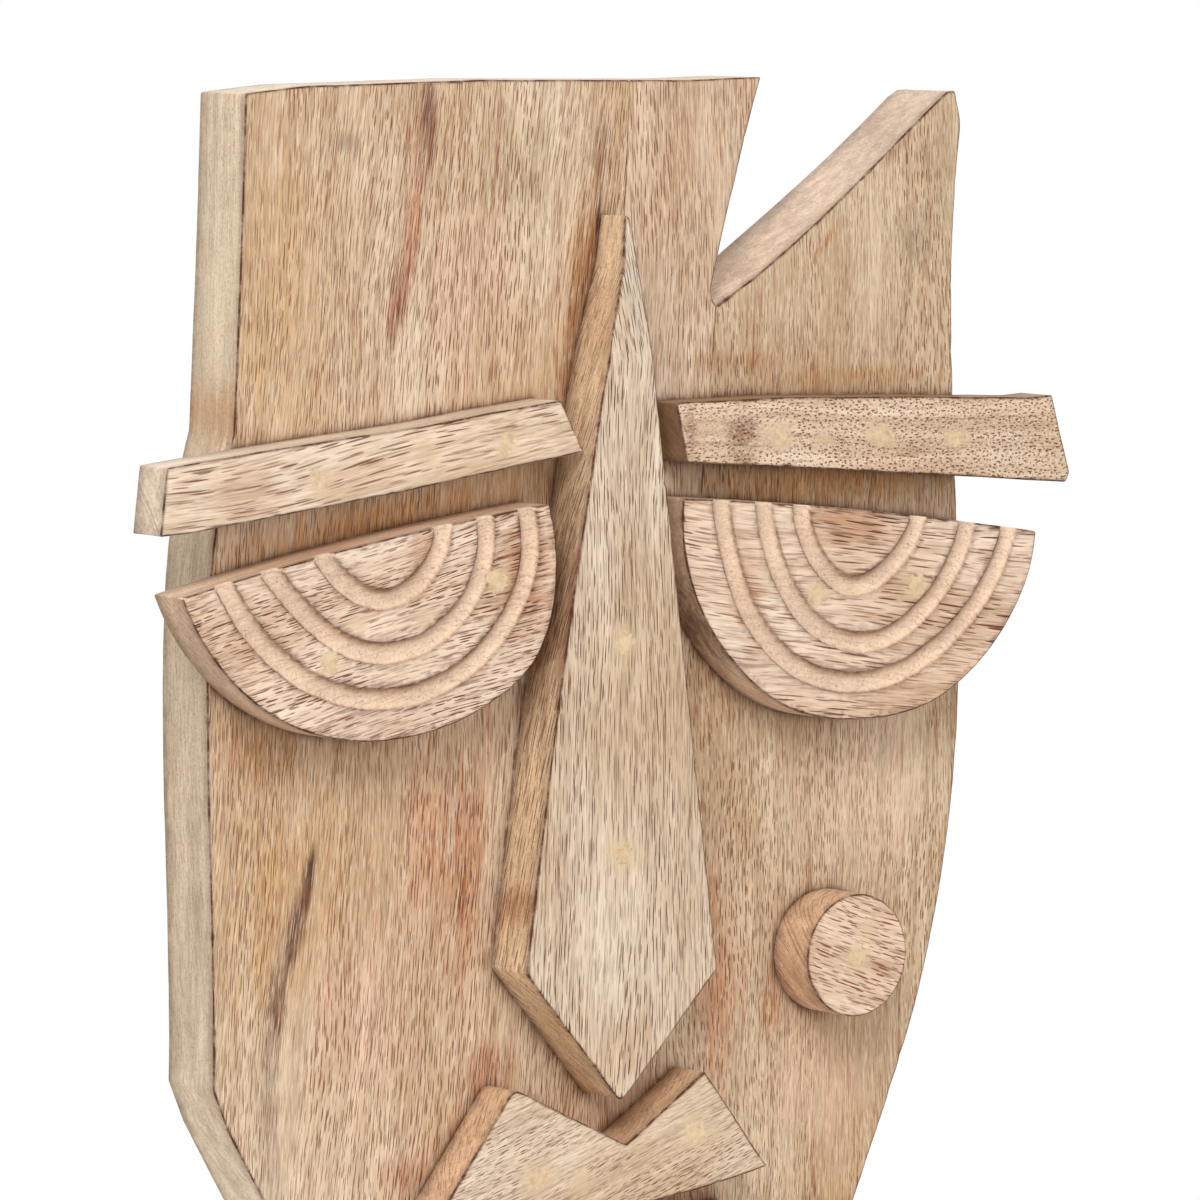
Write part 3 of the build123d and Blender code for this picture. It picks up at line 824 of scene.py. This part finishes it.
def rubber():
    """Dark rubber, faintly dusty."""
    g = Graph("Rubber")
    cloud = g.noise(g.coordinates, 600.0, 3.0, 0.6).outputs["Fac"]
    g.link(g.ramp(cloud, (0.35, tone(38, 37, 36)), (0.7, tone(62, 60, 57))), g.shader.inputs["Base Color"])
    g.put(g.shader.inputs["Roughness"], g.span(cloud, 0.3, 0.7, 0.6, 0.8))
    g.put(g.shader.inputs["Normal"], g.bump(cloud, 0.00008))
    return g.material


def dress(obj, material):
    obj.data.materials.clear()
    obj.data.materials.append(material)


# ---------------------------------------------------------------- the pieces

GREY_TAN = ((226, 204, 176), (216, 189, 159), (203, 170, 134))
RIGHT_TAN = ((216, 192, 162), (205, 177, 144), (192, 157, 120))
MIDDLE_TAN = ((224, 200, 174), (213, 184, 156), (200, 164, 130))
PALE = ((240, 215, 193), (229, 199, 174), (210, 174, 144))
NOSE_PALE = ((226, 207, 184), (217, 194, 168), (204, 176, 145))
BROW_TAN = ((232, 209, 184), (221, 194, 166), (204, 168, 134))
PINK = (226, 186, 160)

CHEEK = OUTLINES["cheek_disc"].mean(0)

# Stains in the boards, and a few bands that are stain and painted shade between pieces: centre, half sizes
# across and along, lean, tone and strength
LEFT_JOINT_MARKS = (
    ((2.8, 47), (5, 14), 4, (128, 92, 66), 0.6), ((-1, 14), (8, 42), 9, (168, 118, 78), 0.7),
    ((2.6, 28), (1.1, 17), 6, (38, 22, 14), 0.95), ((-8, -14), (6, 26), 14, (168, 116, 76), 0.55),
)
RIGHT_JOINT_MARKS = (
    ((44.6, -8), (1.4, 13), 8, (178, 160, 96), 0.6), ((52, -15), (30, 6), 0, (184, 134, 92), 0.6),
    # (88, -52) is stain and painted shade in the gap between the right brow and the right eye
    ((95, -21), (48, 4.5), 0, (190, 148, 104), 0.7), ((88, -52), (62, 9), 0, (200, 150, 92), 0.8),
    ((40.6, -48.5), (0.7, 6), 6, (38, 22, 14), 0.95), ((27, -88), (7, 42), -10, (168, 114, 68), 0.7),
    ((45, -200), (15, 54), -4, (196, 142, 104), 0.8), ((66, -210), (7, 14), 0, (200, 148, 108), 0.6),
)
CHIN_MARKS = (
    ((26, -236), (12, 12), 0, (184, 130, 92), 0.7), ((30, -275), (26, 18), 0, (192, 134, 98), 0.6),
)
LEFT_MARKS = (
    ((-85.7, 52.5), (7, 5), 0, (122, 106, 84), 0.55), ((-22, 40), (8, 7), 0, (142, 122, 96), 0.4),
    ((-26, 46), (24, 26), 0, (184, 162, 128), 0.5), ((-104, 10), (26, 50), 5, (206, 170, 124), 0.5),
    ((-45, 8), (22, 40), 6, PINK, 0.55), ((-60, 60), (9, 28), 6, (188, 150, 114), 0.7),
    ((-57.6, 58), (4.0, 26), 5, (140, 104, 84), 0.95), ((-63.5, 24), (6, 36), 10, (190, 140, 110), 0.9),
    ((-68, 5), (4.6, 18), 8, (162, 108, 82), 0.9), *LEFT_JOINT_MARKS,
    # (-75, -58) is stain and painted shade between the left brow and the left eye, and (-15, -75) beside the
    # nose's left side
    ((-75, -58), (11, 72), 81, (206, 150, 90), 0.8), ((-15, -75), (7, 50), 9, (182, 122, 68), 0.75),
    ((-125, -27), (7, 13), 0, (168, 128, 90), 0.85), ((-118, -10), (10, 14), 0, (212, 176, 124), 0.5),
    ((-118, -124), (24, 12), 30, (166, 116, 72), 0.6), ((-106, -168), (22, 46), 10, (200, 158, 110), 0.7),
    ((-84, -200), (26, 36), 0, PINK, 0.6), ((-60, -150), (18, 38), 4, (200, 146, 110), 0.6),
    ((-46, -158), (14, 52), 4, (184, 128, 90), 0.8), ((-31.5, -152), (2.6, 50), 7, (232, 202, 172), 0.95),
    ((-99.6, -160), (3.0, 14), 12, (78, 50, 36), 1.0), ((-105.8, -176), (6.0, 22), 17, (118, 84, 64), 0.95),
    ((-111.4, -198), (4.6, 24), 9, (122, 90, 70), 0.9), ((-114.5, -226), (6.5, 30), 2, (168, 146, 122), 0.75),
    ((-112.5, -252), (4.5, 22), -3, (178, 156, 132), 0.5), ((-38, -222), (15, 13), 10, (180, 122, 86), 0.75),
    ((-48, -243), (10, 17), 10, (178, 120, 84), 0.75), ((-67, -250), (14, 10), 0, (186, 130, 96), 0.6),
    ((-90, -290), (30, 40), 0, PINK, 0.4),
)
RIGHT_MARKS = (
    ((112, 47), (3, 8), 38, (166, 106, 66), 0.6), ((86, 20), (3, 12), 48, (190, 130, 92), 0.5),
    ((120, 20), (11, 11), 0, (160, 146, 120), 0.5), ((129, 44), (9, 26), 0, (182, 162, 130), 0.5),
    *RIGHT_JOINT_MARKS, ((100, -150), (30, 34), 0, PINK, 0.4), ((80, -235), (28, 28), 0, PINK, 0.5),
    *CHIN_MARKS,
)

# Pores: their spacing and their half sizes, each across and along the grain
SHORT_DASH = ((1.25, 11.0), (0.17, 5.4))
LONG_DASH = ((1.6, 15.0), (0.23, 7.6))
BOLD_DASH = ((1.15, 7.5), (0.21, 3.8))
LIP_DASH = ((1.1, 5.0), (0.17, 2.3))
RIGHT_DASH = ((1.05, 6.5), (0.17, 3.0))
DOTS = ((1.05, 2.0), (0.27, 0.72))

FINISH = {
    "board_left": dict(
        lean=5, tones=GREY_TAN, seed=3, marks=LEFT_MARKS, side=(222, 203, 176),
        side_marks=(
            ((-124, -25), (12, 14), 0, (196, 152, 108), 0.8), ((-124, 20), (12, 40), 0, (228, 212, 184), 0.5),
        ),
    ),
    "board_middle": dict(
        lean=1, tones=MIDDLE_TAN, seed=7, marks=LEFT_JOINT_MARKS + RIGHT_JOINT_MARKS + CHIN_MARKS,
    ),
    "board_right": dict(
        lean=0, tones=RIGHT_TAN, seed=12, marks=RIGHT_MARKS, side=(220, 196, 174), dash=RIGHT_DASH,
    ),
    "brow_left": dict(
        lean=81, tones=BROW_TAN, seed=21, pore_tone=BROWN, dash=LONG_DASH, side=(226, 206, 184),
        putty=(((-41, -35), (7, 6)), ((-105, -43), (7, 6)), ((-69, -37), (6, 5))),
        marks=(
            ((-130, -46), (12, 16), 81, (186, 138, 106), 0.5),
            ((-92, -44), (10, 20), 81, (196, 150, 116), 0.5),
        ),
    ),
    "brow_right": dict(
        # The dark side tone is painted shade, seen on the brow's left end face
        lean=91, tones=BROW_TAN, seed=26, pore_tone=BROWN, dash=DOTS, side=(150, 112, 78), fine=0.6,
        crowding=(0.30, 0.50),
        putty=(((58, -36.5), (7, 6)), ((96, -37.5), (8, 6)), ((124, -40), (7, 6)), ((74, -38), (5, 4))),
        marks=(((44, -36), (9, 12), 0, (150, 112, 88), 0.8), ((25.5, -34), (3, 14), 0, (150, 110, 82), 0.5)),
    ),
    "eye_left": dict(
        lean=79, tones=PALE, seed=31, pores=0.95, pore_tone=BROWN, dash=BOLD_DASH, side=(214, 180, 150),
        putty=(((-102.5, -96), (7, 6)), ((-44, -75), (6, 6)), ((-69, -85), (7, 5)), ((-93, -86), (5, 4))),
        marks=(
            ((-36, -78), (13, 30), 0, (178, 126, 90), 0.8), ((-70, -66), (26, 8), 100, (196, 146, 108), 0.6),
            ((-90, -112), (34, 9), 110, (226, 200, 180), 0.6),
        ),
        side_marks=(
            ((-118, -90), (20, 14), 0, (206, 188, 160), 0.8), ((-75, -66), (60, 6), 0, (190, 142, 104), 0.8),
        ),
    ),
    "eye_right": dict(
        lean=96, tones=PALE, seed=37, pores=0.95, pore_tone=BROWN, dash=LONG_DASH, side=(226, 198, 170),
        putty=(((109.5, -83.5), (7, 6)), ((71.5, -84.5), (7, 6)), ((54, -78), (5, 5))),
        marks=(
            ((84, -64), (26, 12), 6, (178, 124, 84), 0.75), ((46, -84), (9, 30), -8, (200, 156, 122), 0.7),
        ),
        # The dark side mark is painted shade on the eye's left side face, beside the nose
        side_marks=(((35, -84), (12, 40), 0, (96, 62, 34), 0.9),),
    ),
    "nose": dict(
        lean=0, tones=NOSE_PALE, seed=43, pores=1.0, pore_tone=(104, 50, 14), dash=SHORT_DASH,
        side=(224, 192, 154), side_amount=0.85, side_pores=0.9,
        putty=(((-1, -95), (9, 8)), ((-2, -157), (10, 8))),
        marks=(((-2, -215), (14, 14), 0, (196, 160, 124), 0.5), ((4, 10), (5, 30), 0, (206, 196, 180), 0.5)),
        side_marks=(
            ((-18, -85), (16, 46), 0, (140, 94, 56), 0.9), ((-6, 5), (10, 32), 0, (176, 138, 98), 0.7),
            ((-36, -172), (10, 10), 0, (166, 112, 66), 0.8), ((-18, -206), (22, 26), 0, (206, 168, 122), 0.7),
        ),
    ),
    "cheek_disc": dict(
        lean=107, tones=PALE, seed=51, pores=0.9, pore_tone=(140, 70, 22), dash=BOLD_DASH,
        side=(228, 188, 150), side_pores=0.6,
        putty=((CHEEK, (8, 7)), ((CHEEK[0] + 4, CHEEK[1] + 8), (4, 4))),
    ),
    "upper_lip": dict(
        lean=72, tones=NOSE_PALE, seed=57, pore_tone=BROWN, dash=LIP_DASH, side=(212, 172, 136),
        side_amount=0.85, side_pores=0.7,
        putty=(((27, -243), (9, 7)), ((-30, -252), (9, 8)), ((-15, -254), (6, 5))),
    ),
    "lower_lip": dict(
        lean=85, tones=NOSE_PALE, seed=63, pore_tone=BROWN, dash=LIP_DASH, side=(210, 170, 134),
        putty=(((-25, -284), (7, 6)), ((24, -280), (7, 6))),
    ),
}

# How each piece is worn and carved, in millimetres, and the noise seed that it starts from
BOARD = dict(arris=0.7, stuck_on=APPLIED, waviness=0.2)
EYE = dict(arris=0.7, pitch=1.6, step=0.9, gouge=(1.8, 3.1))
SHAPE = {
    "board_left": dict(seed=101, joints=("board_middle",), **BOARD),
    "board_middle": dict(seed=102, joints=("board_left", "board_right"), **BOARD),
    "board_right": dict(seed=103, joints=("board_middle",), **BOARD),
    "brow_left": dict(seed=104, arris=0.65, pitch=2.0),
    "brow_right": dict(seed=105, arris=0.65, pitch=2.0),
    "eye_left": dict(seed=106, **EYE),
    "eye_right": dict(seed=107, **EYE),
    "nose": dict(seed=108, arris=0.7, pitch=2.0, slope=taper("nose", 3.5, (-2, 20))),
    "cheek_disc": dict(seed=109, arris=0.6, pitch=1.6, step=0.8),
    "upper_lip": dict(seed=110, arris=0.8, pitch=2.0),
    "lower_lip": dict(seed=111, arris=0.8, pitch=2.0),
}

for node, finish in FINISH.items():
    piece = carve(node, **SHAPE[node])
    dress(piece, wood("Wood_" + node, **finish))

FILLED = {
    "brow_fillers": ("brow_left", "brow_right"), "eye_fillers": ("eye_left", "eye_right"),
    "nose_fillers": ("nose",), "cheek_fillers": ("cheek_disc",), "lip_fillers": ("upper_lip", "lower_lip"),
}
putty_look = putty_material()
for number, (node, owners) in enumerate(FILLED.items()):
    dress(filler_plugs(node, owners, 70 + number), putty_look)

beech = wood("Beech", 90, PALE, 80)
screw_metal = steel("Zinc", (214, 200, 160), (188, 176, 148), (300, 300, 4000))
hanger_metal = steel("Nickel", (212, 211, 208), (186, 185, 182), (4000, 300, 300))
KEPT = {
    "dowels_left_joint": beech, "dowels_right_joint": beech, "hanger_strap": hanger_metal,
    "hanger_ring": hanger_metal, "hanger_screws": hanger_metal, "wall_bumpers": rubber(),
    **{f"{family}_screws": screw_metal for family in ("brow", "eye", "nose", "cheek", "lip")},
}
for node, material in KEPT.items():
    dress(NODES[node], material)


# ---------------------------------------------------------------- floor, light and camera

def floor():
    """A pale disc under the mask, which fades out so that the white behind it shows no edge."""
    lowest = CAD_BOX[0].z
    bpy.ops.mesh.primitive_circle_add(vertices=96, radius=1.2, fill_type="NGON", location=(0, 0, lowest))
    plane = bpy.context.object
    plane.name = "Floor"
    g = Graph("Floor")
    grey = g.noise(g.coordinates, 4.0, 3.0).outputs["Fac"]
    colour = g.ramp(grey, (0.3, tone(238, 238, 237)), (0.7, tone(244, 244, 243)))
    g.link(colour, g.shader.inputs["Base Color"])
    g.shader.inputs["Roughness"].default_value = 0.9
    clear = g.tree.nodes.new("ShaderNodeBsdfTransparent")
    blend = g.tree.nodes.new("ShaderNodeMixShader")
    away = g.vector_math("LENGTH", g.coordinates)
    g.link(g.span(away, 0.16, 0.42), blend.inputs[0])
    g.link(g.shader.outputs[0], blend.inputs[1])
    g.link(clear.outputs[0], blend.inputs[2])
    g.link(blend.outputs[0], g.output.inputs["Surface"])
    dress(plane, g.material)


def world(light):
    """Soft light of this colour and strength from all round, and plain white for the camera."""
    scene = bpy.context.scene
    scene.world = bpy.data.worlds.new("Studio")
    scene.world.use_nodes = True
    tree = scene.world.node_tree
    tree.nodes.clear()
    output = tree.nodes.new("ShaderNodeOutputWorld")
    mix = tree.nodes.new("ShaderNodeMixShader")
    path = tree.nodes.new("ShaderNodeLightPath")
    for slot, (colour, strength) in ((1, light), (2, ((1, 1, 1, 1), 1.0))):
        background = tree.nodes.new("ShaderNodeBackground")
        background.inputs["Color"].default_value = colour
        background.inputs["Strength"].default_value = strength
        tree.links.new(background.outputs[0], mix.inputs[slot])
    tree.links.new(path.outputs["Is Camera Ray"], mix.inputs[0])
    tree.links.new(mix.outputs[0], output.inputs["Surface"])


def softbox(name, place, aim, size, power, colour=(1, 1, 1)):
    data = bpy.data.lights.new(name, "AREA")
    data.shape, data.size, data.size_y = "RECTANGLE", size[0], size[1]
    data.energy, data.color = power, colour
    lamp = bpy.data.objects.new(name, data)
    lamp.location = place
    lamp.rotation_euler = (Vector(aim) - Vector(place)).to_track_quat("-Z", "Y").to_euler()
    bpy.context.scene.collection.objects.link(lamp)


def camera(turn, height, away, aim, lens):
    """A camera turned this far from facing +Y and raised this far, in degrees, at a distance in metres."""
    turn, height = math.radians(turn), math.radians(height)
    look = Vector((math.sin(turn) * math.cos(height), math.cos(turn) * math.cos(height), -math.sin(height)))
    data = bpy.data.cameras.new("Camera")
    data.lens, data.sensor_width = lens, 36
    view = bpy.data.objects.new("Camera", data)
    view.location = Vector(aim) - look * away
    view.rotation_euler = look.to_track_quat("-Z", "Y").to_euler()
    bpy.context.scene.collection.objects.link(view)
    bpy.context.scene.camera = view


AIM = (0.003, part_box("board_left")[0].y, -0.084)
floor()
world(((1.0, 0.99, 0.97, 1), 0.5))
softbox("Key", (-1.1, -1.3, 1.3), AIM, (1.1, 0.9), 30, (1.0, 0.99, 0.97))
softbox("Front", (0.7, -1.8, 0.3), AIM, (1.4, 1.4), 8)
softbox("Fill", (-1.8, -0.5, -0.4), AIM, (1.2, 1.2), 6, (1.0, 0.98, 0.95))
softbox("Back", (0.5, 1.4, 0.9), AIM, (1.2, 1.2), 12)
camera(turn=35.046, height=4.951, away=2.3698, aim=AIM, lens=240)
bpy.context.scene.view_settings.view_transform = "Standard"
